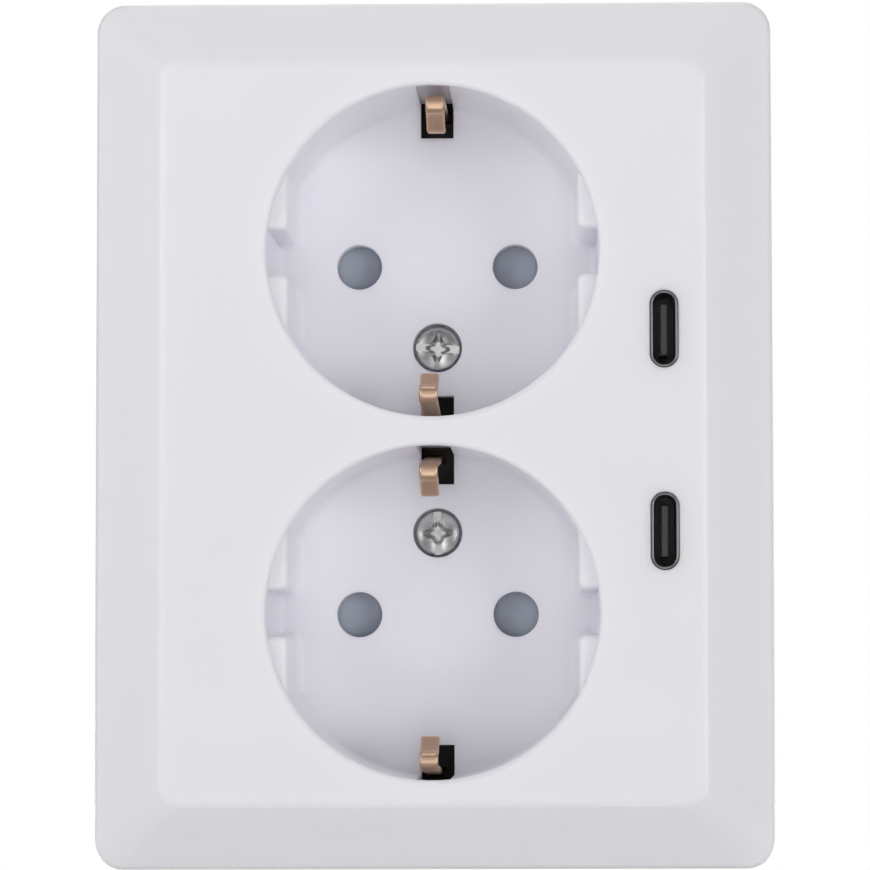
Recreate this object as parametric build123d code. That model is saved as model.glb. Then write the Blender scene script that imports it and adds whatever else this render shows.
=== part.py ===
from build123d import *
from math import asin, atan2, cos, sin, tan
import os

# A double earthed wall socket with two USB-C ports, made to sit in a rectangular flush wall box.
# Pieces are drawn face up: x to the right, y up the wall, z out of the wall, with z = 0 on the wall.
# stand_up() then turns each piece to the object's own frame: X right, Y into the wall, Z up.
# All sizes are in millimetres.

# Cover
cover_width = 80.0
cover_height = 102.4
cover_depth = 10.5
cover_wall = 2.0
rim_height = 5.5
border_width = 8.5
field_margin = 2.6
rim_corner_radius = 3.4
field_corner_radius = 2.0
rim_edge_radius = 1.0
field_edge_radius = 2.0
rib_thickness = 1.2
rib_clearance = 1.8

# Plug recesses, one above the other
recess_radius = 19.5
recess_land = 3.36
recess_depth = 17.5
recess_wall = 1.6
recess_floor = 2.2
recess_lip_radius = 0.6
recess_floor_radius = 1.0
flat_inset = 2.5
flat_drop = 1.6
flat_edge_radius = 0.7
flat_corner_radius = 0.8
notch_width = 5.4
pin_spacing = 19.0
pin_hole_diameter = 5.5
pin_length = 19.0

# Slots in the recess wall that the earth fingers stand in
earth_slot_width = 4.0
earth_slot_inset = 3.7
earth_slot_depth = 0.9
earth_slot_drop = 1.2
earth_slot_wall = 1.2

# Cover screws, in wells in the recess floors
cover_screw_offset = 9.9
cover_screw_diameter = 3.0
cover_screw_length = 11.0
cover_screw_head_diameter = 5.3
cover_screw_head_height = 2.0
cover_screw_head_drop = 0.6
cover_screw_dome_radius = 8.0
cover_screw_edge_radius = 0.3
cover_screw_well_clearance = 0.35
cover_screw_boss_wall = 1.0
screw_slot_width = 0.9
screw_slot_depth = 0.6
screw_cross_span = 4.0
screw_cross_waist = 1.5
screw_cross_tip = 0.55
screw_cross_depth = 1.3
screw_cross_foot = 0.45
upper_screw_turn = -4.0
lower_screw_turn = 92.0

# Shutters that close the pin holes
shutter_thickness = 4.2
shutter_gap = 0.35
shutter_hub_radius = 4.5
shutter_post_radius = 2.0
shutter_running_clearance = 0.05
shutter_overlap = 0.6
shutter_ramp_drop = 3.2
shutter_ramp_start = 5.6
shutter_lug_width = 1.6
shutter_lug_reach = 7.5
shutter_stop_gap = 0.2
spring_thickness = 0.25
spring_width = 2.6
spring_span = 6.2
spring_reach = 10.0
spring_foot = 5.2
spring_bend_radius = 1.4
spring_seat_wall = 1.2
spring_gap = 0.1

# Earth stirrups, earth strap and their rivets
finger_width = 2.2
finger_thickness = 0.8
finger_edge_radius = 0.3
finger_fold_inset = 1.3
finger_fold_drop = 3.7
finger_fold_width = 1.4
finger_step_inset = 2.95
finger_step_drop = 6.2
finger_crest_inset = 4.4
finger_crest_drop = 8.0
finger_tip_inset = 4.2
finger_tip_drop = 10.0
finger_bend_radius = 0.7
finger_clearance = 0.4
upper_outer_finger_shift = 0.2
upper_inner_finger_shift = -0.6
lower_inner_finger_shift = -0.6
lower_outer_finger_shift = -0.6
upper_outer_finger_lean = -0.3
upper_inner_finger_lean = 0.9
lower_inner_finger_lean = 0.85
lower_outer_finger_lean = 0.2
stirrup_width = 6.0
strap_thickness = 1.0
strap_end = 1.5
earth_gap = 0.2
rivet_diameter = 2.0
rivet_head_diameter = 3.6
rivet_head_height = 0.7
rivet_edge_radius = 0.35
rivet_spacing = 13.0

# Live and neutral contact strips
strip_thickness = 0.8
strip_width = 6.4
strip_arm_width = 4.0
strip_loop_reach = 29.0
strip_loop_offset = 18.0
sleeve_length = 5.5
sleeve_neck = 4.3
sleeve_mouth = 6.0
sleeve_neck_depth = 3.6
sleeve_bend_radius = 1.0
tab_height = 5.0
pin_end_gap = 1.2

# Wire terminals
terminal_pitch = 17.0
terminal_width = 7.6
terminal_height = 9.0
terminal_length = 10.0
terminal_screw_wall = 2.2
wire_window_width = 4.4
wire_window_height = 6.6
wire_funnel = 0.9
terminal_screw_diameter = 3.5
terminal_screw_head_diameter = 5.0
terminal_screw_head_height = 1.4
terminal_screw_edge_radius = 0.45

# Housing, contact cover and mounting plate
housing_wall = 1.8
housing_floor = 3.0
housing_corner_radius = 2.0
housing_back_radius = 0.8
recess_clearance = 0.4
seat_clearance = 0.2
wing_height = 54.0
partition_wall = 1.6
contact_cover_thickness = 1.6
contact_cover_hole_diameter = 6.4
cover_fixing_x = 12.0
cover_fixing_y = 36.0
plate_thickness = 1.2
plate_clearance = 0.6
plate_corner_radius = 3.0
box_screw_spacing_x = 60.0
box_screw_spacing_y = 71.0
box_slot_width = 3.8
box_slot_length = 9.0
fixing_boss_radius = 3.2
fixing_boss_length = 12.0
fixing_offset = 2.2
small_screw_diameter = 2.9
small_screw_length = 8.0
small_screw_head_diameter = 4.8
small_screw_head_height = 1.6
small_screw_dome_radius = 0.8
thread_clearance = 0.03
shank_clearance = 0.25

# USB ports and their electronics
usb_x = 27.05
usb_pitch = 23.6
usb_shell_height = 8.94
usb_shell_width = 3.2
usb_shell_wall = 0.3
usb_shell_length = 10.0
usb_shell_drop = 0.15
usb_shell_edge_radius = 0.13
usb_opening_gap = 0.08
usb_lip_radius = 0.25
usb_insert_length = 3.9
usb_insert_gap = 0.02
usb_tongue_height = 6.1
usb_tongue_thickness = 0.95
usb_tongue_drop = 1.4
usb_tongue_edge = 0.15
board_thickness = 1.6
port_board_width = 7.2
port_board_height = 48.0
port_board_corner = 0.8
board_ledge = 1.6
board_groove = 1.0
power_board_headroom = 2.2
transformer_width = 9.5
transformer_height = 16.0
transformer_depth = 14.0
transformer_y = 0.0
transformer_z = -19.0
core_leg = 4.0
core_window = 3.2
core_yoke = 2.8
winding_bulge = 0.5
winding_gap = 0.1
capacitor_radius = 4.0
capacitor_length = 12.4
capacitor_y = 15.6
capacitor_z = -18.0
capacitor_edge_radius = 0.6
link_pins = 6
link_pin_pitch = 2.0
link_pin_size = 0.64
link_height = 2.4
link_depth = 1.6

# Heights of the layers behind the front
front_z = cover_depth
floor_z = front_z - recess_depth
floor_back_z = floor_z - recess_floor
shutter_top_z = floor_back_z - shutter_gap
shutter_back_z = shutter_top_z - shutter_thickness
contact_cover_z = shutter_back_z - shutter_gap
contact_cover_back_z = contact_cover_z - contact_cover_thickness
stirrup_top_z = contact_cover_back_z - earth_gap
strap_top_z = stirrup_top_z - finger_thickness
strap_back_z = strap_top_z - strap_thickness
strip_top_z = floor_z - pin_length - pin_end_gap
seat_z = strip_top_z - strip_thickness
back_z = seat_z - housing_floor

# Places that several pieces share
socket_y = recess_radius + recess_land / 2
end_border = cover_height / 2 - socket_y - recess_radius - field_margin
flat_distance = recess_radius - flat_inset
earth_slot_start = recess_radius - earth_slot_inset
earth_slot_end = recess_radius + earth_slot_depth
finger_root = recess_radius
screw_y = socket_y - cover_screw_offset
pin_x = pin_spacing / 2
screw_well_radius = cover_screw_head_diameter / 2 + cover_screw_well_clearance
screw_seat_z = floor_z - cover_screw_head_drop - cover_screw_head_height
screw_boss_radius = screw_well_radius + cover_screw_boss_wall
screw_hole_radius = cover_screw_diameter / 2 + shank_clearance
column_x = recess_radius + recess_wall + recess_clearance
column_y = socket_y + earth_slot_end + earth_slot_wall + recess_clearance
wing_x = usb_x + port_board_width / 2 + seat_clearance
wing_y = wing_height / 2 - housing_wall
sleeve_outer = sleeve_mouth / 2 + strip_thickness
pocket_half = sleeve_outer + seat_clearance
electronics_x = pin_x + pocket_half + partition_wall
ledge_y = port_board_height / 2 - board_ledge
board_top_z = front_z - usb_shell_drop - usb_shell_length
board_back_z = board_top_z - board_thickness
power_board_x = wing_x - seat_clearance - board_thickness
terminal_x = seat_clearance - wing_x
terminal_face_x = terminal_x + terminal_width
terminal_z = seat_z + terminal_length / 2
fixing_x = column_x + housing_wall + fixing_offset
fixing_y = wing_height / 2 + fixing_offset
spring_x = -shutter_lug_width / 2 - spring_gap


def stand_up(shape):
    """Turn a face-up piece so that its front looks along -Y and its top along +Z."""
    return Rot(90, 0, 0) * shape


def block(x0, x1, y0, y1, z0, z1):
    """A box between two corners."""
    return Pos((x0 + x1) / 2, (y0 + y1) / 2, (z0 + z1) / 2) * Box(x1 - x0, y1 - y0, z1 - z0)


def rod(x, y, radius, z0, z1):
    """A round bar along z."""
    return Pos(x, y, (z0 + z1) / 2) * Cylinder(radius, z1 - z0)


def slab(outline, z0, z1):
    """A flat outline carried from one height to another."""
    return extrude(Pos(0, 0, z0) * outline, z1 - z0)


def hipped_block(width, height, corner, foot_z, side_inset, end_inset, top_corner, top_z):
    """A rounded rectangular block whose sides and ends slope in above foot_z to a flat top."""
    foot = Pos(0, 0, foot_z) * RectangleRounded(width, height, corner)
    top = Pos(0, 0, top_z) * RectangleRounded(width - 2 * side_inset, height - 2 * end_inset, top_corner)
    return slab(RectangleRounded(width, height, corner), 0, foot_z) + loft([foot, top], ruled=True)


def cover_block():
    """The solid outside of the cover's front, with its edges still sharp."""
    return hipped_block(cover_width, cover_height, rim_corner_radius, rim_height,
                        border_width, end_border, field_corner_radius, front_z)


def inner_inset(border, z):
    """How far in from the rim the inside of a sloping border stands at a height."""
    slope = atan2(front_z - rim_height, border)
    return (z - rim_height) / tan(slope) + cover_wall / sin(slope)


def cover_front():
    """The hollow front of the cover: straight rim, sloping border and raised flat field."""
    outer = cover_block()
    rim_edges = outer.edges().filter_by_position(Axis.Z, rim_height, rim_height)
    outer = fillet(rim_edges, rim_edge_radius)
    field_edges = outer.edges().filter_by_position(Axis.Z, front_z, front_z)
    outer = fillet(field_edges, field_edge_radius)
    slopes = [atan2(front_z - rim_height, border) for border in (border_width, end_border)]
    foot_z = rim_height + cover_wall * min(tan(slope) - 1 / cos(slope) for slope in slopes)
    top_z = front_z - cover_wall
    side = inner_inset(border_width, foot_z)
    end = inner_inset(end_border, foot_z)
    inner = hipped_block(cover_width - 2 * side, cover_height - 2 * end, rim_corner_radius - cover_wall,
                         foot_z, inner_inset(border_width, top_z) - side,
                         inner_inset(end_border, top_z) - end, field_corner_radius / 2, top_z)
    return outer - inner


def recess_space():
    """The space a plug goes into: round, with a flat on each side and a guide notch in each flat."""
    top_z = front_z + cover_wall
    ledge_z = front_z - flat_drop
    space = rod(0, 0, recess_radius, floor_z, top_z)
    flats = slab(Circle(recess_radius + recess_wall), floor_z, ledge_z)
    flats -= block(-flat_distance, flat_distance, -recess_radius * 2, recess_radius * 2, floor_z, ledge_z)
    flats -= block(-recess_radius * 2, recess_radius * 2, -notch_width / 2, notch_width / 2, floor_z, ledge_z)
    corners = flats.edges().filter_by(Axis.Z).filter_by_position(Axis.X, -flat_distance, flat_distance)
    corners = corners.filter_by_position(Axis.Y, -notch_width, notch_width)
    flats = fillet(corners, flat_corner_radius)
    ledges = flats.faces().filter_by_position(Axis.Z, ledge_z, ledge_z)
    ledge_edges = ledges.edges().filter_by_position(Axis.X, -flat_distance, flat_distance)
    space -= fillet(ledge_edges, flat_edge_radius)
    return fillet(space.faces().sort_by(Axis.Z)[0].edges(), recess_floor_radius)


def earth_slot_space():
    """The slot for one earth finger, on the +y side of a recess that is centred on the origin."""
    half = earth_slot_width / 2
    return block(-half, half, earth_slot_start, earth_slot_end, contact_cover_z, front_z - earth_slot_drop)


def earth_slot_shell():
    """The channel moulded round an earth slot, behind the recess wall."""
    half = earth_slot_width / 2 + earth_slot_wall
    end = earth_slot_end + earth_slot_wall
    return block(-half, half, recess_radius, end, floor_back_z, front_z - cover_wall)


def usb_outline(inset):
    """The round-ended outline of a USB-C shell, taken in all round by an inset."""
    return SlotOverall(usb_shell_height - 2 * inset, usb_shell_width - 2 * inset, rotation=90)


def cover_ribs():
    """Stiffening ribs from the recesses out to the rim, behind the front."""
    side = cover_width / 2 - cover_wall / 2
    end = cover_height / 2 - cover_wall / 2
    low = plate_thickness + rib_clearance
    high = front_z - cover_wall / 2
    half = rib_thickness / 2
    ribs = block(-half, half, -end, end, low, high)
    for y in (socket_y, -socket_y):
        ribs += block(-side, side, y - half, y + half, low, high)
    return ribs & Pos(0, 0, -cover_wall / 2) * cover_block()


def cover():
    """The one-piece moulded cover with both plug recesses."""
    body = cover_front() + cover_ribs()
    for y in (socket_y, -socket_y):
        body += rod(0, y, recess_radius + recess_wall, floor_back_z, front_z - cover_wall / 2)
        for turn in (0, 180):
            body += Pos(0, y, 0) * Rot(0, 0, turn) * earth_slot_shell()
        inward = screw_y if y > 0 else -screw_y
        body += rod(0, inward, screw_boss_radius, contact_cover_z, floor_back_z)
    for y in (socket_y, -socket_y):
        body -= Pos(0, y, 0) * recess_space()
        inward = screw_y if y > 0 else -screw_y
        body -= rod(0, inward, screw_well_radius, screw_seat_z, floor_z)
        body -= rod(0, inward, screw_hole_radius, contact_cover_z, screw_seat_z)
        for turn in (0, 180):
            body -= Pos(0, y, 0) * Rot(0, 0, turn) * earth_slot_space()
        for x in (pin_x, -pin_x):
            body -= rod(x, y, pin_hole_diameter / 2, floor_back_z, floor_z)
    for y in (usb_pitch / 2, -usb_pitch / 2):
        body -= Pos(usb_x, y, 0) * slab(usb_outline(-usb_opening_gap), 0, front_z)
    front_edges = body.edges().filter_by_position(Axis.Z, front_z, front_z)
    usb_lips = front_edges.filter_by_position(Axis.X, usb_x - usb_shell_width, usb_x + usb_shell_width)
    usb_lips = usb_lips.filter_by_position(Axis.Y, -usb_pitch, usb_pitch)
    body = fillet(usb_lips, usb_lip_radius)
    rims = body.edges().filter_by(GeomType.CIRCLE).filter_by_position(Axis.Z, front_z, front_z)
    rims = rims.filter_by(lambda edge: abs(edge.radius - recess_radius) < recess_lip_radius)
    return fillet(rims, recess_lip_radius)


def cross_outline(share):
    """The four-pointed outline of a screw's cross, at a share of its full size."""
    reach = share * screw_cross_span / 2
    waist = share * screw_cross_waist / 2
    tip = share * screw_cross_tip / 2
    return Polygon((reach, tip), (waist, waist), (tip, reach),
                   (-tip, reach), (-waist, waist), (-reach, tip),
                   (-reach, -tip), (-waist, -waist), (-tip, -reach),
                   (tip, -reach), (waist, -waist), (reach, -tip), align=None)


def cover_screw(turn):
    """One domed cover screw with a slot and a cross in its head, its seat at the origin."""
    head_radius = cover_screw_head_diameter / 2
    top = cover_screw_head_height
    dome = Pos(0, 0, top - cover_screw_dome_radius) * Sphere(cover_screw_dome_radius)
    head = rod(0, 0, head_radius, 0, top) & dome
    rim = head.edges().group_by(SortBy.LENGTH)[-1].sort_by(Axis.Z)[-1]
    head = fillet(rim, cover_screw_edge_radius)
    head -= block(-head_radius, head_radius, -screw_slot_width / 2, screw_slot_width / 2,
                  top - screw_slot_depth, top)
    mouth = Pos(0, 0, top) * cross_outline(1)
    foot = Pos(0, 0, top - screw_cross_depth) * cross_outline(screw_cross_foot)
    head -= loft([foot, mouth], ruled=True)
    shank = rod(0, 0, cover_screw_diameter / 2, -cover_screw_length, 0)
    return Rot(0, 0, turn) * (head + shank)


def cover_screws():
    """The two screws that hold the cover."""
    upper = Pos(0, screw_y, screw_seat_z) * cover_screw(upper_screw_turn)
    lower = Pos(0, -screw_y, screw_seat_z) * cover_screw(lower_screw_turn)
    return Compound(children=[upper, lower])


def shutter():
    """A rotor centred on its post: a ramped arm over each pin hole, and a lug that its spring pushes."""
    cover_radius = pin_hole_diameter / 2 + shutter_overlap
    reach = pin_x + cover_radius
    spread = asin(cover_radius / pin_x)
    wedge = Polygon((0, 0), (2 * reach, -2 * reach * tan(spread)), (2 * reach, 2 * reach * tan(spread)),
                    align=None)
    arm = slab(Circle(reach) & wedge, shutter_back_z, shutter_top_z)
    ramp = Polygon((cover_radius, shutter_top_z), (-cover_radius, shutter_top_z - shutter_ramp_drop),
                   (-reach, shutter_top_z - shutter_ramp_drop), (-reach, shutter_top_z), align=None)
    arm -= extrude(Plane.YZ.offset(shutter_ramp_start) * ramp, reach)
    body = rod(0, 0, shutter_hub_radius, shutter_back_z, shutter_top_z)
    body += arm
    body += Rot(0, 0, 180) * arm
    body += block(-shutter_lug_width / 2, shutter_lug_width / 2, 0, shutter_lug_reach,
                  shutter_back_z, shutter_top_z)
    bore = shutter_post_radius + shutter_running_clearance
    return body - rod(0, 0, bore, shutter_back_z, shutter_top_z)


def shutter_spring():
    """The bent flat spring that swings a shutter back over its pin holes."""
    near = spring_x - spring_thickness / 2
    far = near - spring_span
    path = FilletPolyline((near, spring_foot), (near, spring_reach), (far, spring_reach), (far, spring_foot),
                          radius=spring_bend_radius)
    return slab(trace(path, spring_thickness), contact_cover_z, contact_cover_z + spring_width)


def shutter_seat():
    """What carries one shutter on the contact cover: its post, its closed stop and its spring's seat."""
    post = rod(0, 0, shutter_post_radius, contact_cover_back_z, shutter_top_z)
    stop_x = shutter_lug_width / 2 + shutter_stop_gap
    stop = block(stop_x, stop_x + spring_seat_wall, spring_foot, shutter_lug_reach,
                 contact_cover_back_z, shutter_top_z)
    seat_x = spring_x - spring_thickness - spring_span
    seat = block(seat_x - spring_seat_wall, seat_x, spring_foot, spring_reach - spring_bend_radius,
                 contact_cover_back_z, contact_cover_z + spring_width)
    return post + stop + seat


def inner_outline(inset):
    """The cross-shaped inside of the housing: a column for the recesses and a wing on each side."""
    column = Rectangle(2 * (column_x - inset), 2 * (column_y - inset))
    wings = Rectangle(2 * (wing_x - inset), 2 * (wing_y - inset))
    return column + wings


def contact_cover():
    """The plate that closes the contact chambers and carries the shutters."""
    outline = inner_outline(seat_clearance)
    edge = electronics_x - partition_wall / 2
    outline -= Pos((edge + wing_x) / 2, 0) * Rectangle(wing_x - edge, 2 * wing_y)
    body = slab(outline, contact_cover_back_z, contact_cover_z)
    for turn in (0, 180):
        body += Rot(0, 0, turn) * Pos(0, socket_y, 0) * shutter_seat()
    slot_start = finger_root - finger_thickness / 2 - finger_clearance
    slot_end = finger_root + finger_thickness / 2 + finger_clearance
    half = finger_width / 2 + finger_clearance
    for y in (socket_y, -socket_y):
        for x in (pin_x, -pin_x):
            body -= rod(x, y, contact_cover_hole_diameter / 2, contact_cover_back_z, contact_cover_z)
    for y, side, shift in finger_places():
        y0, y1 = sorted((y + side * slot_start, y + side * slot_end))
        body -= block(shift - half, shift + half, y0, y1, contact_cover_back_z, contact_cover_z)
    for y in (screw_y, -screw_y):
        body -= rod(0, y, screw_hole_radius, contact_cover_back_z, contact_cover_z)
    for x, y in cover_fixings():
        body -= rod(x, y, small_screw_diameter / 2 + shank_clearance, contact_cover_back_z, contact_cover_z)
    return body


def cover_fixings():
    """Where screws hold the contact cover."""
    return [(x, y) for x in (cover_fixing_x, -cover_fixing_x) for y in (cover_fixing_y, -cover_fixing_y)]


def plate_fixings():
    """Where screws hold the mounting plate on the housing."""
    return [(x, y) for x in (fixing_x, -fixing_x) for y in (fixing_y, -fixing_y)]


def small_screws(places, level_z):
    """A group of small pan-head screws, their heads seated on one level."""
    screws = []
    top_z = level_z + small_screw_head_height
    for x, y in places:
        head = rod(x, y, small_screw_head_diameter / 2, level_z, top_z)
        head = fillet(head.edges().sort_by(Axis.Z)[-1], small_screw_dome_radius)
        head -= block(x - small_screw_head_diameter, x + small_screw_head_diameter,
                      y - screw_slot_width / 2, y + screw_slot_width / 2, top_z - screw_slot_depth, top_z)
        screws.append(head + rod(x, y, small_screw_diameter / 2, level_z - small_screw_length, level_z))
    return Compound(children=screws)


def strip_arms(near, far, width):
    """The flat arms of a contact strip: a short one to its own side and one looped round to the other."""
    bar_end = socket_y + sleeve_length / 2
    short = Line((-pin_x, terminal_pitch), (-near, terminal_pitch))
    loop = FilletPolyline((-pin_x, bar_end - width / 2), (-pin_x, strip_loop_reach),
                          (strip_loop_offset, strip_loop_reach), (strip_loop_offset, terminal_pitch),
                          (far, terminal_pitch), radius=strip_arm_width / 2 + seat_clearance)
    return trace(short, width) + trace(loop, width)


def sleeve_leaves():
    """The two spring leaves of one contact sleeve, which grip a plug's pin."""
    foot = strip_width / 2 - strip_thickness / 2
    neck = sleeve_neck / 2 + strip_thickness / 2
    mouth = sleeve_mouth / 2 + strip_thickness / 2
    top_z = contact_cover_back_z - earth_gap
    bar_z = strip_top_z - strip_thickness / 2
    leaf = FilletPolyline((0, bar_z), (foot, bar_z), (neck, top_z - sleeve_neck_depth), (mouth, top_z),
                          radius=sleeve_bend_radius)
    sheet = extrude(Plane.XZ * trace(leaf, strip_thickness), sleeve_length / 2, both=True)
    return sheet + mirror(sheet, about=Plane.YZ)


def contact_strip(near, far):
    """A stamped strip with two contact sleeves, on the left, with tabs at its two ends."""
    bar_end = socket_y + sleeve_length / 2
    bar = Pos(-pin_x, 0) * Rectangle(strip_width, 2 * bar_end)
    body = slab(bar + strip_arms(near, far, strip_arm_width), seat_z, strip_top_z)
    half = strip_arm_width / 2
    tab_top = seat_z + tab_height
    low = terminal_pitch - half
    high = terminal_pitch + half
    body += block(-near, strip_thickness - near, low, high, seat_z, tab_top)
    body += block(far - strip_thickness, far, low, high, seat_z, tab_top)
    for y in (socket_y, -socket_y):
        body += Pos(-pin_x, y, 0) * sleeve_leaves()
    return body


def live_strip():
    """The live contacts, on the left, with a feed round to the power board."""
    return contact_strip(-terminal_face_x, power_board_x)


def neutral_strip():
    """The neutral contacts, on the right: the same strip turned half a turn."""
    return Rot(0, 0, 180) * contact_strip(power_board_x, -terminal_face_x)


def finger_places():
    """Each finger's recess, its side of that recess and how far it stands off the middle."""
    return [(socket_y, 1, upper_outer_finger_shift), (socket_y, -1, upper_inner_finger_shift),
            (-socket_y, 1, lower_inner_finger_shift), (-socket_y, -1, lower_outer_finger_shift)]


def earth_finger(lean):
    """One hairpin finger, on the +y side of a recess centred on the origin."""
    base_z = stirrup_top_z - finger_thickness / 2
    fold_z = front_z - finger_fold_drop
    fold = recess_radius - finger_fold_inset - lean
    step = recess_radius - finger_step_inset - lean
    crest = recess_radius - finger_crest_inset - lean
    tip = recess_radius - finger_tip_inset - lean
    path = FilletPolyline((finger_root - earth_slot_width, base_z), (finger_root, base_z),
                          (fold, fold_z), (fold - finger_fold_width, fold_z),
                          (step, front_z - finger_step_drop), (crest, front_z - finger_crest_drop),
                          (tip, front_z - finger_tip_drop), radius=finger_bend_radius)
    sheet = extrude(Plane.YZ * trace(path, finger_thickness), finger_width / 2, both=True)
    return fillet(sheet.faces().filter_by(Axis.X).edges(), finger_edge_radius)


def earth_stirrup(outer_shift, outer_lean, inner_shift, inner_lean):
    """A bronze strip under one recess, with a hairpin finger folded up at each end."""
    reach = finger_root - earth_slot_width / 2
    body = block(-stirrup_width / 2, stirrup_width / 2, -reach, reach, strap_top_z, stirrup_top_z)
    body += Pos(outer_shift, 0, 0) * earth_finger(outer_lean)
    body += Pos(inner_shift, 0, 0) * Rot(0, 0, 180) * earth_finger(inner_lean)
    screw_thread = cover_screw_diameter / 2 + thread_clearance
    body -= rod(0, -cover_screw_offset, screw_thread, strap_top_z, stirrup_top_z)
    for y in (rivet_spacing / 2, -rivet_spacing / 2):
        body -= rod(0, y, rivet_diameter / 2 + thread_clearance, strap_top_z, stirrup_top_z)
    return body


def upper_earth_stirrup():
    """The stirrup under the upper recess."""
    return Pos(0, socket_y, 0) * earth_stirrup(upper_outer_finger_shift, upper_outer_finger_lean,
                                               upper_inner_finger_shift, upper_inner_finger_lean)


def lower_earth_stirrup():
    """The stirrup under the lower recess, turned half a turn so that its outer finger is at the bottom."""
    return Pos(0, -socket_y, 0) * Rot(0, 0, 180) * earth_stirrup(
        -lower_outer_finger_shift, lower_outer_finger_lean,
        -lower_inner_finger_shift, lower_inner_finger_lean)


def rivet_places():
    """Where rivets join the stirrups to the strap."""
    return [(0, y + side * rivet_spacing / 2) for y in (socket_y, -socket_y) for side in (1, -1)]


def earth_strap():
    """The strap that joins both stirrups to the earth terminal."""
    end = socket_y + finger_root + strap_end
    half = stirrup_width / 2
    arm = strip_arm_width / 2
    body = block(-half, half, -end, end, strap_back_z, strap_top_z)
    body += block(terminal_face_x, 0, -arm, arm, strap_back_z, strap_top_z)
    body += block(terminal_face_x, terminal_face_x + strap_thickness, -arm, arm,
                  strap_top_z - tab_height, strap_top_z)
    for y in (screw_y, -screw_y):
        body -= rod(0, y, cover_screw_diameter / 2 + thread_clearance, strap_back_z, strap_top_z)
    for x, y in rivet_places():
        body -= rod(x, y, rivet_diameter / 2 + thread_clearance, strap_back_z, strap_top_z)
    return body


def earth_rivets():
    """Rivets with their heads under the strap."""
    rivets = []
    for x, y in rivet_places():
        head = rod(x, y, rivet_head_diameter / 2, strap_back_z - rivet_head_height, strap_back_z)
        head = fillet(head.edges().sort_by(Axis.Z)[0], rivet_edge_radius)
        rivets.append(head + rod(x, y, rivet_diameter / 2, strap_back_z, stirrup_top_z))
    return Compound(children=rivets)


def wire_window(gap):
    """The opening of a wire terminal, seen from behind, with a gap all round."""
    x = terminal_x + terminal_screw_wall + wire_window_width / 2
    return Pos(x, 0) * Rectangle(wire_window_width + 2 * gap, wire_window_height + 2 * gap)


def terminal(y):
    """A brass wire terminal: a block with a window for the wires and a threaded side."""
    half = terminal_height / 2
    body = block(terminal_x, terminal_face_x, -half, half, seat_z, seat_z + terminal_length)
    body -= slab(wire_window(0), seat_z, seat_z + terminal_length)
    thread = Pos(terminal_x, 0, terminal_z) * Rot(0, 90, 0)
    body -= thread * rod(0, 0, terminal_screw_diameter / 2 + thread_clearance, 0, terminal_screw_wall)
    return Pos(0, y, 0) * body


def terminal_places():
    """How high the live, earth and neutral terminals stand."""
    return [terminal_pitch, 0, -terminal_pitch]


def terminal_screw():
    """A wire clamping screw along x, its head's seat at the origin and its tip at the terminal's window."""
    head = rod(0, 0, terminal_screw_head_diameter / 2, -terminal_screw_head_height, 0)
    head = fillet(head.edges().sort_by(Axis.Z)[0], terminal_screw_edge_radius)
    head -= block(-terminal_screw_head_diameter, terminal_screw_head_diameter,
                  -screw_slot_width / 2, screw_slot_width / 2,
                  -terminal_screw_head_height, screw_slot_depth - terminal_screw_head_height)
    shank = rod(0, 0, terminal_screw_diameter / 2, 0, terminal_screw_wall + seat_clearance)
    return Rot(0, 90, 0) * (head + shank)


def terminal_screws():
    """The three wire clamping screws, in the left side of the housing."""
    return Compound(children=[Pos(terminal_x - seat_clearance, y, terminal_z) * terminal_screw()
                              for y in terminal_places()])


def board_ledges():
    """The two blocks that the port board rests on, each with a groove for an edge of the power board."""
    ledges = []
    groove_x = power_board_x - seat_clearance
    for side in (1, -1):
        y0, y1 = sorted((side * ledge_y, side * wing_y))
        ledge = block(column_x, wing_x, y0, y1, seat_z, board_back_z)
        y0, y1 = sorted((side * ledge_y, side * (ledge_y + board_groove + seat_clearance)))
        ledges.append(ledge - block(groove_x, wing_x, y0, y1, seat_z, board_back_z))
    return ledges[0] + ledges[1]


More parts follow.
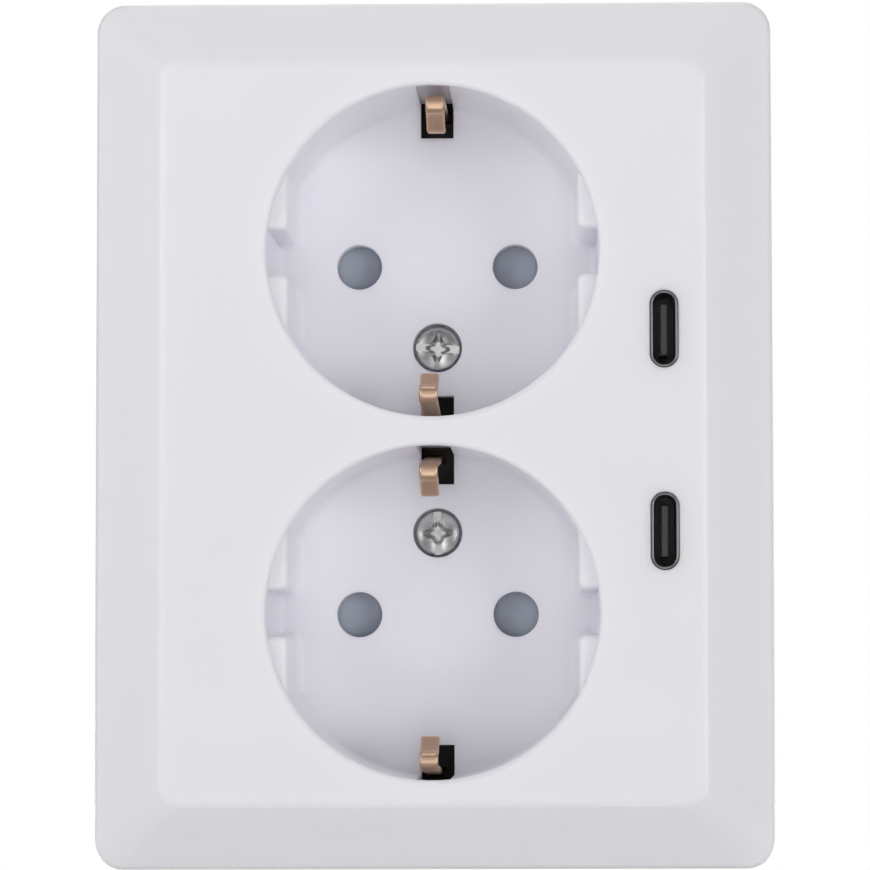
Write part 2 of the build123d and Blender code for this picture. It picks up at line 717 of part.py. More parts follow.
def housing():
    """The moulded housing behind the cover, with chambers for the contacts, terminals and electronics."""
    outline = fillet(inner_outline(-housing_wall).vertices(), housing_corner_radius)
    body = slab(outline, back_z, 0)
    body = fillet(body.faces().sort_by(Axis.Z)[0].edges(), housing_back_radius)
    for x, y in plate_fixings():
        body += rod(x, y, fixing_boss_radius, -fixing_boss_length, 0)
    top_z = contact_cover_back_z
    body -= slab(inner_outline(0), top_z, 0)
    body -= block(electronics_x, wing_x, -wing_y, wing_y, seat_z, top_z)
    body += board_ledges()
    bar_end = socket_y + sleeve_length / 2 + seat_clearance
    arm_width = strip_arm_width + 2 * seat_clearance
    for x in (pin_x, -pin_x):
        body -= block(x - pocket_half, x + pocket_half, -bar_end, bar_end, seat_z, top_z)
    body -= slab(strip_arms(-terminal_face_x, electronics_x, arm_width), seat_z, top_z)
    body -= Rot(0, 0, 180) * slab(strip_arms(electronics_x, -terminal_face_x, arm_width), seat_z, top_z)
    half = stirrup_width / 2 + seat_clearance
    end = socket_y + finger_root + strap_end + seat_clearance
    body -= block(-half, half, -end, end, strap_back_z, top_z)
    body -= block(terminal_face_x, 0, -arm_width / 2, arm_width / 2, strap_back_z, top_z)
    funnel = Pos(0, 0, back_z) * wire_window(wire_funnel)
    throat = Pos(0, 0, back_z + wire_funnel) * wire_window(0)
    side_hole = Rot(0, -90, 0) * rod(0, 0, terminal_screw_head_diameter / 2 + shank_clearance,
                                     wing_x, wing_x + housing_wall)
    for y in terminal_places():
        reach = terminal_height / 2 + seat_clearance
        body -= block(-wing_x, terminal_face_x + strap_thickness + seat_clearance, y - reach, y + reach,
                      seat_z, top_z)
        body -= Pos(0, y, 0) * slab(wire_window(0), back_z, seat_z)
        body -= Pos(0, y, 0) * loft([funnel, throat], ruled=True)
        body -= Pos(0, y, terminal_z) * side_hole
    tail_z = screw_seat_z - cover_screw_length - seat_clearance
    for y in (screw_y, -screw_y):
        body -= rod(0, y, screw_hole_radius, tail_z, strap_back_z)
    for x, y in rivet_places():
        body -= rod(x, y, rivet_head_diameter / 2 + seat_clearance,
                    strap_back_z - rivet_head_height - seat_clearance, strap_back_z)
    pilot = small_screw_diameter / 2 + thread_clearance
    for x, y in cover_fixings():
        body -= rod(x, y, pilot, contact_cover_z - small_screw_length - seat_clearance, top_z)
    for x, y in plate_fixings():
        body -= rod(x, y, pilot, plate_thickness - small_screw_length - seat_clearance, 0)
    return body


def mounting_plate():
    """The steel plate that the housing hangs from and that is screwed to the wall box."""
    margin = 2 * (cover_wall + plate_clearance)
    outline = RectangleRounded(cover_width - margin, cover_height - margin, plate_corner_radius)
    outline -= inner_outline(0)
    for x in (box_screw_spacing_x / 2, -box_screw_spacing_x / 2):
        for y in (box_screw_spacing_y / 2, -box_screw_spacing_y / 2):
            outline -= Pos(x, y) * SlotOverall(box_slot_length, box_slot_width)
    for x, y in plate_fixings():
        outline -= Pos(x, y) * Circle(small_screw_diameter / 2 + shank_clearance)
    return slab(outline, 0, plate_thickness)


def usb_shell(y):
    """The drawn steel shell of one USB-C port."""
    tube = usb_outline(0) - usb_outline(usb_shell_wall)
    shell = slab(tube, board_top_z, front_z - usb_shell_drop)
    shell = fillet(shell.faces().sort_by(Axis.Z)[-1].edges(), usb_shell_edge_radius)
    return Pos(usb_x, y, 0) * shell


def usb_tongue(y):
    """The moulded insert of one USB-C port: a plug that fills the shell's foot, and the contact tongue."""
    root_z = board_top_z + usb_insert_length
    body = slab(usb_outline(usb_shell_wall + usb_insert_gap), board_top_z, root_z)
    tongue = slab(Rectangle(usb_tongue_thickness, usb_tongue_height), root_z, front_z - usb_tongue_drop)
    tongue = chamfer(tongue.faces().sort_by(Axis.Z)[-1].edges(), usb_tongue_edge)
    return Pos(usb_x, y, 0) * (body + tongue)


def port_board():
    """The small circuit board that both USB-C ports stand on."""
    outline = Pos(usb_x, 0) * RectangleRounded(port_board_width, port_board_height, port_board_corner)
    return slab(outline, board_back_z, board_top_z)


def power_board():
    """The circuit board of the charger, on edge against the right side of the housing."""
    reach = ledge_y + board_groove
    return block(power_board_x, power_board_x + board_thickness, -reach, reach,
                 seat_z, board_back_z - power_board_headroom)


def transformer_core():
    """A ferrite core with a middle leg along y and a window on each side of it."""
    x = power_board_x - winding_bulge - transformer_width / 2
    body = Box(transformer_width, transformer_height, transformer_depth)
    window_z = (core_leg + core_window) / 2
    for z in (window_z, -window_z):
        body -= Pos(0, 0, z) * Box(transformer_width, transformer_height - 2 * core_yoke, core_window)
    return Pos(x, transformer_y, transformer_z) * body


def transformer_winding():
    """The taped winding round the core's middle leg, its side against the power board."""
    width = transformer_width + 2 * winding_bulge
    height = transformer_height - 2 * core_yoke - 2 * winding_gap
    depth = core_leg + 2 * core_window - 2 * winding_gap
    body = Box(width, height, depth)
    body -= Box(transformer_width + 2 * winding_gap, height, core_leg + 2 * winding_gap)
    return Pos(power_board_x - width / 2, transformer_y, transformer_z) * body


def power_capacitors():
    """The two electrolytic capacitors on the power board."""
    cans = []
    for y in (capacitor_y, -capacitor_y):
        can = Cylinder(capacitor_radius, capacitor_length)
        can = fillet(can.edges().filter_by(GeomType.CIRCLE), capacitor_edge_radius)
        x = power_board_x - capacitor_length / 2
        cans.append(Pos(x, y, capacitor_z) * Rot(0, 90, 0) * can)
    return Compound(children=cans)


def board_link():
    """The pin header that joins the two boards."""
    length = link_pins * link_pin_pitch
    top_z = board_back_z - power_board_headroom
    body = block(power_board_x - link_depth, power_board_x, -length / 2, length / 2,
                 top_z - link_height, top_z)
    pin_middle = power_board_x - link_depth / 2
    half = link_pin_size / 2
    for number in range(link_pins):
        y = (number + 0.5) * link_pin_pitch - length / 2
        body += block(pin_middle - half, pin_middle + half, y - half, y + half, top_z - half, board_back_z)
    return body


def pieces():
    """Every piece by name, face up."""
    turned = Rot(0, 0, 180)
    at_socket = Pos(0, socket_y, 0)
    live_y, earth_y, neutral_y = terminal_places()
    return {
        "cover": cover(),
        "cover_screws": cover_screws(),
        "mounting_plate": mounting_plate(),
        "plate_screws": small_screws(plate_fixings(), plate_thickness),
        "housing": housing(),
        "contact_cover": contact_cover(),
        "contact_cover_screws": small_screws(cover_fixings(), contact_cover_z),
        "upper_shutter": at_socket * shutter(),
        "lower_shutter": turned * at_socket * shutter(),
        "upper_shutter_spring": at_socket * shutter_spring(),
        "lower_shutter_spring": turned * at_socket * shutter_spring(),
        "live_strip": live_strip(),
        "neutral_strip": neutral_strip(),
        "earth_strap": earth_strap(),
        "upper_earth_stirrup": upper_earth_stirrup(),
        "lower_earth_stirrup": lower_earth_stirrup(),
        "earth_rivets": earth_rivets(),
        "live_terminal": terminal(live_y),
        "earth_terminal": terminal(earth_y),
        "neutral_terminal": terminal(neutral_y),
        "terminal_screws": terminal_screws(),
        "upper_usb_shell": usb_shell(usb_pitch / 2),
        "lower_usb_shell": usb_shell(-usb_pitch / 2),
        "upper_usb_tongue": usb_tongue(usb_pitch / 2),
        "lower_usb_tongue": usb_tongue(-usb_pitch / 2),
        "usb_port_board": port_board(),
        "usb_power_board": power_board(),
        "transformer_core": transformer_core(),
        "transformer_winding": transformer_winding(),
        "power_capacitors": power_capacitors(),
        "board_link": board_link(),
    }


os.makedirs("parts", exist_ok=True)
for name, piece in pieces().items():
    export_step(stand_up(piece), f"parts/{name}.step")
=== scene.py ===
import math

import bmesh
import bpy
from mathutils import Matrix, Vector


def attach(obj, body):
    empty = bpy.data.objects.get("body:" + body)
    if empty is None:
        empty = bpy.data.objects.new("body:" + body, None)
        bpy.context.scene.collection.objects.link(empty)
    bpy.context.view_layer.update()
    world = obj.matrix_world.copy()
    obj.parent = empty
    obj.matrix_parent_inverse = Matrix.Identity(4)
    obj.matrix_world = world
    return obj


# Double earthed wall socket with two USB-C ports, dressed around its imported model.
# Sizes in the dictionaries of pieces are in millimetres, angles in degrees.
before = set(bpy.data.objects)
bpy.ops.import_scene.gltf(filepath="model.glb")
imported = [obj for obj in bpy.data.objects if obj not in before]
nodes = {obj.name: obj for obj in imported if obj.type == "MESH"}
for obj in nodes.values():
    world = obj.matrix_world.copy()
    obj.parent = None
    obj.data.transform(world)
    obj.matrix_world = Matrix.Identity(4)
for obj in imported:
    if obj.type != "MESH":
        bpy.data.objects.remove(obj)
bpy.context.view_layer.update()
scene = bpy.context.scene
mm = 0.001
print("frame loaded:", len(nodes), "nodes")


def hexColor(code):
    channels = [int(code[i:i + 2], 16) / 255 for i in (1, 3, 5)]
    linear = [c / 12.92 if c <= 0.04045 else ((c + 0.055) / 1.055) ** 2.4 for c in channels]
    return (*linear, 1.0)


def joinNodes(tree, node, links):
    for socket, (source, output) in links.items():
        tree.links.new(source.outputs[output], node.inputs[socket])


def addNode(tree, kind, values=None, links=None, **settings):
    node = tree.nodes.new(kind)
    for name, value in settings.items():
        setattr(node, name, value)
    for socket, value in (values or {}).items():
        node.inputs[socket].default_value = value
    joinNodes(tree, node, links or {})
    return node


def startMaterial(name, values):
    material = bpy.data.materials.new(name)
    material.use_nodes = True
    tree = material.node_tree
    shader = tree.nodes["Principled BSDF"]
    for socket, value in values.items():
        shader.inputs[socket].default_value = value
    return material, tree, shader, addNode(tree, "ShaderNodeTexCoord")


def grainedFinish(name, look):
    # one noise, stretched if the look says so, gives the tone, gloss and relief that the look holds
    material, tree, shader, place = startMaterial(name, look["shader"])
    source = (place, "Object")
    if "stretch" in look:
        along = addNode(tree, "ShaderNodeMapping", look["stretch"], {"Vector": source})
        source = (along, "Vector")
    grain = addNode(tree, "ShaderNodeTexNoise", look["grain"], {"Vector": source})
    if "tone" in look:
        tone = addNode(tree, "ShaderNodeMix", look["tone"], {"Factor": (grain, "Fac")},
                       data_type="RGBA")
        joinNodes(tree, shader, {"Base Color": (tone, "Result")})
    if "gloss" in look:
        gloss = addNode(tree, "ShaderNodeMapRange", look["gloss"], {"Value": (grain, "Fac")})
        joinNodes(tree, shader, {"Roughness": (gloss, "Result")})
    if "relief" in look:
        relief = addNode(tree, "ShaderNodeBump", look["relief"], {"Height": (grain, "Fac")})
        joinNodes(tree, shader, {"Normal": (relief, "Normal")})
    return material


def whitePolycarbonate():
    # moulded in a fine-ground tool: even cool white, slightly milky, satin, a trace of orange peel
    return grainedFinish("whitePolycarbonate", {
        "shader": {"Base Color": hexColor("#f4f3fc"), "IOR": 1.5, "Subsurface Weight": 0.7,
                   "Subsurface Radius": (1, 1, 1), "Subsurface Scale": 2.5 * mm},
        "grain": {"Scale": 1 / (2.2 * mm), "Detail": 0.0},
        "gloss": {"To Min": 0.36, "To Max": 0.4},
        "relief": {"Strength": 0.02, "Distance": 0.02 * mm}})


def greyPolyamide():
    # glass-filled nylon from an eroded tool: matt mid grey, fine grain, pale fibre flecks
    return grainedFinish("greyPolyamide", {
        "shader": {"IOR": 1.53},
        "grain": {"Scale": 1 / (0.4 * mm), "Detail": 4.0},
        "tone": {"A": hexColor("#85888c"), "B": hexColor("#979a9d")},
        "gloss": {"To Min": 0.45, "To Max": 0.6},
        "relief": {"Strength": 0.25, "Distance": 0.05 * mm}})


def blackPolyamideSlotShade():
    # glass-filled nylon coloured black: dull, with a fine eroded grain; the black also serves as
    # painted shade deep in the earth slots
    return grainedFinish("blackPolyamideSlotShade", {
        "shader": {"IOR": 1.53},
        "grain": {"Scale": 1 / (0.4 * mm), "Detail": 4.0},
        "tone": {"A": hexColor("#17181a"), "B": hexColor("#222326")},
        "relief": {"Strength": 0.25, "Distance": 0.05 * mm}})


def greyAcetal():
    # moulded acetal: blue-grey, waxy and half matt
    return grainedFinish("greyAcetal", {
        "shader": {"IOR": 1.48},
        "grain": {"Scale": 1 / (3.0 * mm), "Detail": 1.0},
        "tone": {"A": hexColor("#9aa1ad"), "B": hexColor("#a0a7b2")},
        "gloss": {"To Min": 0.38, "To Max": 0.48}})


def galvanisedSheet():
    # hot-dip zinc on steel sheet: dull grey metal in flat crystal patches, some paler than others
    look = {"spangle": {"Scale": 1 / (4.0 * mm)},
            "tone": {"A": hexColor("#a3a7ab"), "B": hexColor("#c3c6c9")},
            "gloss": {"To Min": 0.48, "To Max": 0.62}}
    material, tree, shader, place = startMaterial("galvanisedSheet", {"Metallic": 1.0})
    spangle = addNode(tree, "ShaderNodeTexVoronoi", look["spangle"], {"Vector": (place, "Object")})
    patch = addNode(tree, "ShaderNodeRGBToBW", links={"Color": (spangle, "Color")})
    tone = addNode(tree, "ShaderNodeMix", look["tone"], {"Factor": (patch, "Val")},
                   data_type="RGBA")
    gloss = addNode(tree, "ShaderNodeMapRange", look["gloss"], {"Value": (patch, "Val")})
    joinNodes(tree, shader, {"Base Color": (tone, "Result"), "Roughness": (gloss, "Result")})
    return material


def zincPlating():
    # barrel zinc plating on steel: bright pale metal with a slight haze
    return grainedFinish("zincPlating", {
        "shader": {"Metallic": 1.0},
        "grain": {"Scale": 1 / (0.6 * mm), "Detail": 2.0},
        "tone": {"A": hexColor("#bdbfbf"), "B": hexColor("#d6d7d6")},
        "gloss": {"To Min": 0.2, "To Max": 0.28}})


def rolledStrip(name, dark, light, roughness, stretch):
    # rolled strip: fine lines along its length, drawn coarser than real ones so that they show
    look = {"lineWidth": 0.15, "roughnessSpread": 0.04}
    return grainedFinish(name, {
        "shader": {"Metallic": 1.0},
        "stretch": {"Scale": [1 / times for times in stretch]},
        "grain": {"Scale": 1 / (look["lineWidth"] * mm), "Detail": 2.0},
        "tone": {"A": hexColor(dark), "B": hexColor(light)},
        "gloss": {"To Min": roughness - look["roughnessSpread"],
                  "To Max": roughness + look["roughnessSpread"]}})


def nickelShell():
    # deep-drawn steel under nickel: warm grey metal with soft drawing marks along the depth
    return rolledStrip("nickelShell", "#77767a", "#8a898c", 0.3, (1, 30, 1))


def tinBronze():
    # rolled tin bronze: pale pink-brown satin metal
    return rolledStrip("tinBronze", "#c9a88e", "#d3b49c", 0.38, (1, 40, 40))


def shadeDarkBronze():
    # the same bronze painted dark brown as shade, for the strap that sits in shadow behind the
    # slots: dull
    return rolledStrip("shadeDarkBronze", "#4f4038", "#5f4e43", 0.5, (40, 40, 1))


def brassStrip():
    # rolled brass: yellow metal, fine lines
    return rolledStrip("brassStrip", "#b08d4a", "#c9a65e", 0.3, (1, 1, 40))


def springStrip():
    # hardened spring strip: dark bright steel
    return rolledStrip("springStrip", "#77787a", "#98999b", 0.25, (30, 1, 30))


def goldFlash():
    # thin gold over nickel on contact pads: pale yellow and bright
    look = {"Metallic": 1.0, "Base Color": hexColor("#d9b26a"), "Roughness": 0.25}
    return startMaterial("goldFlash", look)[0]


def blackPolymer():
    # glass-filled liquid crystal polymer: dark grey, dull, faintly flecked
    return grainedFinish("blackPolymer", {
        "shader": {"IOR": 1.6, "Roughness": 0.5},
        "grain": {"Scale": 1 / (0.2 * mm), "Detail": 2.0},
        "tone": {"A": hexColor("#2c2c30"), "B": hexColor("#3c3c40")}})


def greenSolderMask():
    # solder mask over copper on glass laminate: green gloss, small fields with darker gaps
    look = {"shader": {"IOR": 1.5, "Roughness": 0.3},
            "fields": {"Scale": 1 / (3.0 * mm), "Color1": hexColor("#145236"),
                       "Color2": hexColor("#1a6342"), "Mortar": hexColor("#0e3d28")}}
    material, tree, shader, place = startMaterial("greenSolderMask", look["shader"])
    fields = addNode(tree, "ShaderNodeTexBrick", look["fields"], {"Vector": (place, "Object")})
    joinNodes(tree, shader, {"Base Color": (fields, "Color")})
    return material


def sinteredFerrite():
    # pressed and sintered ferrite: near-black grey, dry, faintly grainy
    return grainedFinish("sinteredFerrite", {
        "shader": {"IOR": 2.0, "Roughness": 0.6},
        "grain": {"Scale": 1 / (0.3 * mm), "Detail": 2.0},
        "tone": {"A": hexColor("#2a2a2c"), "B": hexColor("#3a3a3d")},
        "relief": {"Strength": 0.3, "Distance": 0.03 * mm}})


def polyesterTape():
    # yellow polyester tape: glossy wraps with a soft line at each turn
    look = {"shader": {"IOR": 1.6, "Roughness": 0.25},
            # the wave reads 20 times its scale as an angle, so a wrap is 2 pi times 1.6 mm wide
            "wraps": {"Scale": 1 / (20 * 1.6 * mm), "Distortion": 0.4},
            "tone": {"A": hexColor("#c8961e"), "B": hexColor("#e0b23a")},
            "relief": {"Strength": 0.2, "Distance": 0.05 * mm}}
    material, tree, shader, place = startMaterial("polyesterTape", look["shader"])
    wraps = addNode(tree, "ShaderNodeTexWave", look["wraps"], {"Vector": (place, "Object")},
                    bands_direction="Z")
    tone = addNode(tree, "ShaderNodeMix", look["tone"], {"Factor": (wraps, "Fac")},
                   data_type="RGBA")
    relief = addNode(tree, "ShaderNodeBump", look["relief"], {"Height": (wraps, "Fac")})
    joinNodes(tree, shader, {"Base Color": (tone, "Result"), "Normal": (relief, "Normal")})
    return material


def shrinkSleeve():
    # shrunk PVC sleeve: dark blue with a soft sheen and faint creases
    return grainedFinish("shrinkSleeve", {
        "shader": {"IOR": 1.53, "Base Color": hexColor("#182242")},
        "grain": {"Scale": 1 / (1.5 * mm), "Detail": 2.0},
        "gloss": {"To Min": 0.25, "To Max": 0.4},
        "relief": {"Strength": 0.2, "Distance": 0.04 * mm}})


finishes = {
    whitePolycarbonate: ["cover"],
    greyPolyamide: ["housing"],
    # the black contact cover is partly painted shade for the earth slots
    blackPolyamideSlotShade: ["contact_cover"],
    greyAcetal: ["upper_shutter", "lower_shutter"],
    galvanisedSheet: ["mounting_plate"],
    zincPlating: ["cover_screws", "plate_screws", "contact_cover_screws", "terminal_screws"],
    springStrip: ["upper_shutter_spring", "lower_shutter_spring"],
    brassStrip: ["live_strip", "neutral_strip", "earth_rivets", "live_terminal", "earth_terminal",
                 "neutral_terminal"],
    tinBronze: ["upper_earth_stirrup", "lower_earth_stirrup"],
    # the strap's dark brown bronze is painted shade
    shadeDarkBronze: ["earth_strap"],
    nickelShell: ["upper_usb_shell", "lower_usb_shell"],
    goldFlash: [],  # for the contact pads below
    blackPolymer: ["upper_usb_tongue", "lower_usb_tongue", "board_link"],
    greenSolderMask: ["usb_port_board", "usb_power_board"],
    sinteredFerrite: ["transformer_core"],
    polyesterTape: ["transformer_winding"],
    shrinkSleeve: ["power_capacitors"],
}
made = {}
for makeFinish, names in finishes.items():
    made[makeFinish] = makeFinish()
    for name in names:
        nodes[name].data.materials.clear()
        nodes[name].data.materials.append(made[makeFinish])
print("finishes given:", len(made))


def startTree(name, inputs):
    # a tree with a points input and named inputs, and the identifier of each named one
    tree = bpy.data.node_groups.new(name, "GeometryNodeTree")
    sockets = tree.interface
    sockets.new_socket("Points", in_out="INPUT", socket_type="NodeSocketGeometry")
    sockets.new_socket("Mesh", in_out="OUTPUT", socket_type="NodeSocketGeometry")
    keys = {}
    for label, kind in inputs.items():
        socket = sockets.new_socket(label, in_out="INPUT", socket_type="NodeSocket" + kind)
        keys[label] = socket.identifier
    return tree, keys, addNode(tree, "NodeGroupInput")


def endTree(tree, source, shape):
    # real copies on each point, with the material that the tree was given
    copies = addNode(tree, "GeometryNodeInstanceOnPoints", links={
        "Points": (source, "Points"), "Instance": shape, "Rotation": (source, "Turn")})
    real = addNode(tree, "GeometryNodeRealizeInstances", links={"Geometry": (copies, "Instances")})
    dressed = addNode(tree, "GeometryNodeSetMaterial", links={
        "Geometry": (real, "Geometry"), "Material": (source, "Material")})
    addNode(tree, "NodeGroupOutput", links={"Mesh": (dressed, "Geometry")})


def growPiece(name, tree, keys, places, values):
    # runs a tree on a few points and keeps the result as a plain mesh
    mesh = bpy.data.meshes.new(name)
    mesh.from_pydata([Vector(place) * mm for place in places], [], [])
    piece = bpy.data.objects.new(name, mesh)
    scene.collection.objects.link(piece)
    modifier = piece.modifiers.new("grow", "NODES")
    modifier.node_group = tree
    for label, value in values.items():
        modifier[keys[label]] = value
    graph = bpy.context.evaluated_depsgraph_get()
    grown = bpy.data.meshes.new_from_object(piece.evaluated_get(graph))
    piece.modifiers.clear()
    piece.data = grown
    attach(piece, "socket")


# screw threads: a ridge wound along each shank, from the place where the thread starts
threadLook = {"ridge": 0.14, "sides": 3, "steps": 24}
threadedScrews = {
    "coverScrewThreads": {
        "places": [(0, 10.4, z) for z in (11.28, -11.28)],
        "radius": 1.45, "pitch": 0.5, "length": 9.8, "turn": (-90, 0, 0)},
    "plateScrewThreads": {
        "places": [(x, -0.6, z) for x in (-25.5, 25.5) for z in (-29.2, 29.2)],
        "radius": 1.38, "pitch": 1.1, "length": 6.8, "turn": (-90, 0, 0)},
    "contactCoverScrewThreads": {
        "places": [(x, 14.7, z) for x in (-12, 12) for z in (-36, 36)],
        "radius": 1.38, "pitch": 1.1, "length": 6.8, "turn": (-90, 0, 0)},
    "terminalScrewThreads": {
        "places": [(-30.6, 23.0, z) for z in (-17, 0, 17)],
        "radius": 1.7, "pitch": 0.6, "length": 1.9, "turn": (0, 90, 0)},
}


def threadTree():
    tree, keys, source = startTree("screwThread", {
        "Radius": "Float", "Length": "Float", "Windings": "Float", "Ridge": "Float",
        "Sides": "Int", "Steps": "Int", "Turn": "Rotation", "Material": "Material"})
    path = addNode(tree, "GeometryNodeCurveSpiral", links={
        "Resolution": (source, "Steps"), "Rotations": (source, "Windings"),
        "Start Radius": (source, "Radius"), "End Radius": (source, "Radius"),
        "Height": (source, "Length")})
    section = addNode(tree, "GeometryNodeCurvePrimitiveCircle", links={
        "Resolution": (source, "Sides"), "Radius": (source, "Ridge")})
    ridge = addNode(tree, "GeometryNodeCurveToMesh", {"Fill Caps": True}, {
        "Curve": (path, "Curve"), "Profile Curve": (section, "Curve")})
    endTree(tree, source, (ridge, "Mesh"))
    return tree, keys


def makeThreads(screws, look):
    tree, keys = threadTree()
    for name, screw in screws.items():
        growPiece(name, tree, keys, screw["places"], {
            "Radius": screw["radius"] * mm, "Length": screw["length"] * mm,
            "Windings": screw["length"] / screw["pitch"], "Ridge": look["ridge"] * mm,
            "Sides": look["sides"], "Steps": look["steps"],
            "Turn": [math.radians(angle) for angle in screw["turn"]],
            "Material": made[zincPlating]})


# contact pads on both faces of each USB tongue
padLook = {"count": 12, "pitch": 0.5, "width": 0.28, "length": 2.8, "height": 0.03, "face": 0.475,
           "across": 27.05, "depth": -5.7, "ports": (11.8, -11.8)}


def padTree():
    tree, keys, source = startTree("contactPads", {
        "Count": "Int", "Step": "Vector", "Size": "Vector", "Turn": "Rotation",
        "Material": "Material"})
    row = addNode(tree, "GeometryNodeMeshLine", links={
        "Count": (source, "Count"), "Offset": (source, "Step")})
    pad = addNode(tree, "GeometryNodeMeshCube", links={"Size": (source, "Size")})
    pads = addNode(tree, "GeometryNodeInstanceOnPoints", links={
        "Points": (row, "Mesh"), "Instance": (pad, "Mesh")})
    endTree(tree, source, (pads, "Instances"))
    return tree, keys


def makePads(look):
    tree, keys = padTree()
    halfRow = (look["count"] - 1) * look["pitch"] / 2
    places = [(look["across"] + side * look["face"], look["depth"], port - halfRow)
              for port in look["ports"] for side in (1, -1)]
    growPiece("contactPads", tree, keys, places, {
        "Count": look["count"], "Step": (0, 0, look["pitch"] * mm),
        "Size": [size * mm for size in (look["height"], look["length"], look["width"])],
        "Turn": (0, 0, 0), "Material": made[goldFlash]})


makeThreads(threadedScrews, threadLook)
makePads(padLook)
print("threads and contact pads grown")


# raised marks beside the wire entries, on the back of the housing
markLook = {"letters": {"L": 17.0, "N": -17.0}, "across": -18.5, "face": 30.95, "height": 4.0,
            "rise": 0.25, "stem": (0.5, 1.6), "bars": (3.2, 2.1, 1.0), "barStep": 0.9,
            "weld": 0.001}


def letterMesh(letter, look):
    # a letter lying flat, as thick as its rise
    curve = bpy.data.curves.new("mark", "FONT")
    curve.body = letter
    curve.size = look["height"] * mm
    curve.extrude = look["rise"] / 2 * mm
    curve.align_x = "CENTER"
    curve.align_y = "CENTER"
    flat = bpy.data.objects.new("mark", curve)
    scene.collection.objects.link(flat)
    graph = bpy.context.evaluated_depsgraph_get()
    mesh = bpy.data.meshes.new_from_object(flat.evaluated_get(graph))
    bpy.data.objects.remove(flat)
    return mesh


def earthSign(look):
    # the stem and the bars below it, as the middle and size of flat boxes
    thick, length = look["stem"]
    boxes = [((0, length / 2), (thick, length))]
    for number, bar in enumerate(look["bars"]):
        boxes.append(((0, -number * look["barStep"] - thick / 2), (bar, thick)))
    return boxes


def makeMarks(look):
    shape = bmesh.new()
    for letter, level in look["letters"].items():
        mesh = letterMesh(letter, look)
        mesh.transform(Matrix.Translation((0, level * mm, 0)))
        shape.from_mesh(mesh)
    for (x, y), (wide, high) in earthSign(look):
        size = Matrix.Diagonal((wide * mm, high * mm, look["rise"] * mm, 1))
        middle = Matrix.Translation((x * mm, y * mm, 0))
        bmesh.ops.create_cube(shape, size=1, matrix=middle @ size)
    bmesh.ops.remove_doubles(shape, verts=shape.verts, dist=look["weld"] * mm)
    # stood up, turned to face backwards and set on the housing
    upright = Matrix.Rotation(math.radians(90), 4, "X")
    backwards = Matrix.Rotation(math.radians(180), 4, "Z")
    place = Matrix.Translation((look["across"] * mm, (look["face"] + look["rise"] / 2) * mm, 0))
    bmesh.ops.transform(shape, matrix=place @ backwards @ upright, verts=shape.verts)
    bmesh.ops.recalc_face_normals(shape, faces=shape.faces)
    mesh = bpy.data.meshes.new("terminalMarks")
    shape.to_mesh(mesh)
    shape.free()
    mesh.materials.append(made[greyPolyamide])
    marks = bpy.data.objects.new("terminalMarks", mesh)
    scene.collection.objects.link(marks)
    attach(marks, "socket")


makeMarks(markLook)
print("terminal marks raised")


# a pale round floor that fades out into the white behind it
floorLook = {"height": -350, "radius": 600, "sides": 96, "fadeFrom": 300, "fadeTo": 500,
             "color": "#c4c4c6", "glow": "#bcbcbe", "roughness": 0.8}


def makeFloor(look):
    mesh = bpy.data.meshes.new("floor")
    shape = bmesh.new()
    bmesh.ops.create_circle(shape, cap_ends=True, segments=look["sides"],
                            radius=look["radius"] * mm,
                            matrix=Matrix.Translation((0, 0, look["height"] * mm)))
    shape.to_mesh(mesh)
    shape.free()
    floor = bpy.data.objects.new("floor", mesh)
    scene.collection.objects.link(floor)
    # the glow shows the floor pale in a view from above and lights nothing
    material, tree, shader, place = startMaterial("paleFloor", {
        "Base Color": hexColor(look["color"]), "Emission Color": hexColor(look["glow"]),
        "Roughness": look["roughness"]})
    rays = addNode(tree, "ShaderNodeLightPath")
    flat = addNode(tree, "ShaderNodeVectorMath", {1: (1, 1, 0)}, {0: (place, "Object")},
                   operation="MULTIPLY")
    reach = addNode(tree, "ShaderNodeVectorMath", links={0: (flat, "Vector")}, operation="LENGTH")
    fade = addNode(tree, "ShaderNodeMapRange", {
        "From Min": look["fadeFrom"] * mm, "From Max": look["fadeTo"] * mm,
        "To Min": 1.0, "To Max": 0.0}, {"Value": (reach, "Value")},
        interpolation_type="SMOOTHSTEP")
    joinNodes(tree, shader, {"Alpha": (fade, "Result"),
                             "Emission Strength": (rays, "Is Camera Ray")})
    mesh.materials.append(material)


# soft lamps around the object, placed in metres and turned to the frame's origin
lightLook = {
    "sky": "#ffffff", "skyStrength": 0.2, "backdrop": "#ffffff", "backdropStrength": 1.0,
    "lampWidth": 0.42,  # of a lamp's distance, so that a far lamp is a large one
    "lamps": {
        "frontLow": {"place": (0, -0.966, -0.259), "watts": 1.09},
        "frontNear": {"place": (0, -0.386, 0.104), "watts": 0.078},
        "right": {"place": (0.707, -0.707, 0), "watts": 3.2},
        "left": {"place": (-0.707, -0.707, 0), "watts": 1.45},
        "leftNear": {"place": (-0.266, -0.266, 0.137), "watts": 0.184},
        "sideLeft": {"place": (-0.966, -0.259, 0), "watts": 0.91},
        "above": {"place": (0, -0.259, 0.966), "watts": 1.0},
        "below": {"place": (0, -0.669, -0.743), "watts": 3.5},
        "aboveBack": {"place": (0, 0.45, 0.89), "watts": 2.2},
        "backRight": {"place": (0.66, 0.7, -0.28), "watts": 4.2},
        "backLeft": {"place": (-0.6, 0.72, -0.28), "watts": 3.3},
    },
}


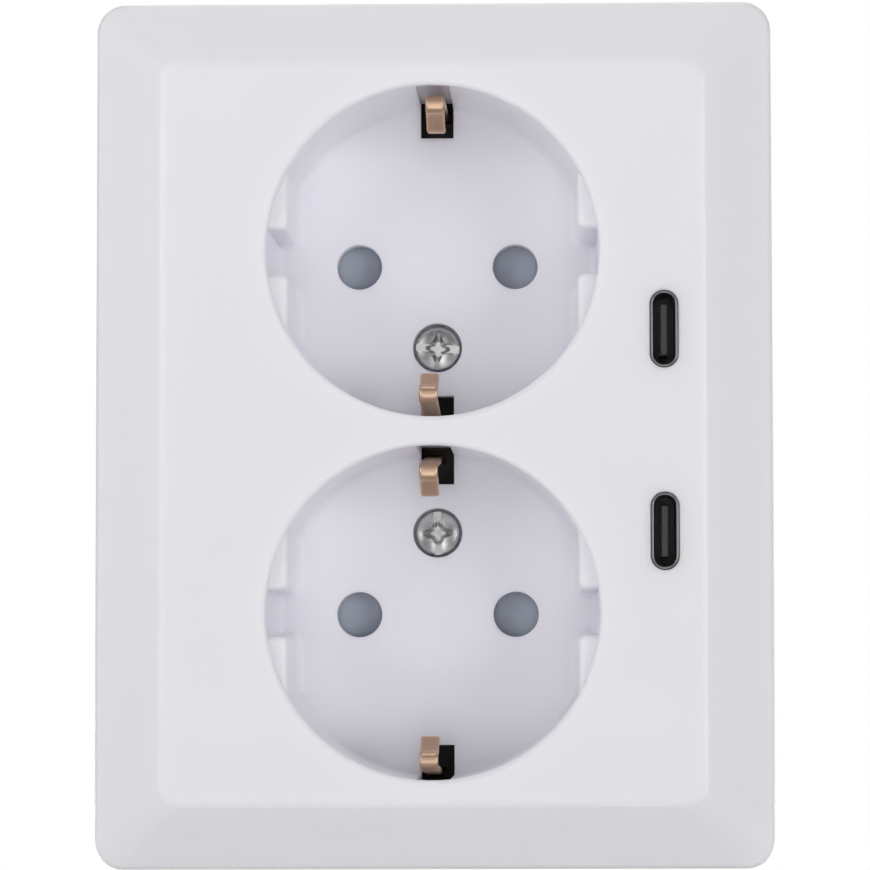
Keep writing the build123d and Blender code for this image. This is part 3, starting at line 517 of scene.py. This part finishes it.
def makeSky(look):
    # the sky lights the object softly and shows plain white behind it
    world = bpy.data.worlds.new("studio")
    world.use_nodes = True
    scene.world = world
    tree = world.node_tree
    tree.nodes.clear()
    glow = addNode(tree, "ShaderNodeBackground", {
        "Color": hexColor(look["sky"]), "Strength": look["skyStrength"]})
    backdrop = addNode(tree, "ShaderNodeBackground", {
        "Color": hexColor(look["backdrop"]), "Strength": look["backdropStrength"]})
    rays = addNode(tree, "ShaderNodeLightPath")
    both = addNode(tree, "ShaderNodeMixShader", links={
        0: (rays, "Is Camera Ray"), 1: (glow, "Background"), 2: (backdrop, "Background")})
    addNode(tree, "ShaderNodeOutputWorld", links={"Surface": (both, "Shader")})
    scene.view_settings.view_transform = "Standard"


def makeLamps(look):
    for name, lamp in look["lamps"].items():
        place = Vector(lamp["place"])
        data = bpy.data.lights.new(name, "AREA")
        data.shape = "SQUARE"
        data.size = look["lampWidth"] * place.length
        data.energy = lamp["watts"]
        holder = bpy.data.objects.new(name, data)
        holder.location = place
        holder.rotation_euler = (-place).to_track_quat("-Z", "Y").to_euler()
        holder.visible_camera = False
        scene.collection.objects.link(holder)


# the photograph's view: from the front, a little right of the middle and below it
cameraLook = {"place": (14.21, -400, -27.19), "lens": 138.76, "sensor": 36.0,
              "shift": (-0.08, 0.05), "pitch": 3.163, "yaw": 0.854, "roll": -0.147, "near": 10}


def makeCamera(look):
    data = bpy.data.cameras.new("camera")
    data.lens = look["lens"]
    data.sensor_width = look["sensor"]
    data.shift_x, data.shift_y = look["shift"]
    data.clip_start = look["near"] * mm
    camera = bpy.data.objects.new("camera", data)
    camera.matrix_world = (Matrix.Translation(Vector(look["place"]) * mm)
                           @ Matrix.Rotation(math.radians(look["yaw"]), 4, "Z")
                           @ Matrix.Rotation(math.radians(90 + look["pitch"]), 4, "X")
                           @ Matrix.Rotation(math.radians(look["roll"]), 4, "Z"))
    scene.collection.objects.link(camera)
    scene.camera = camera


makeFloor(floorLook)
makeSky(lightLook)
makeLamps(lightLook)
makeCamera(cameraLook)
print("floor, light and camera set")
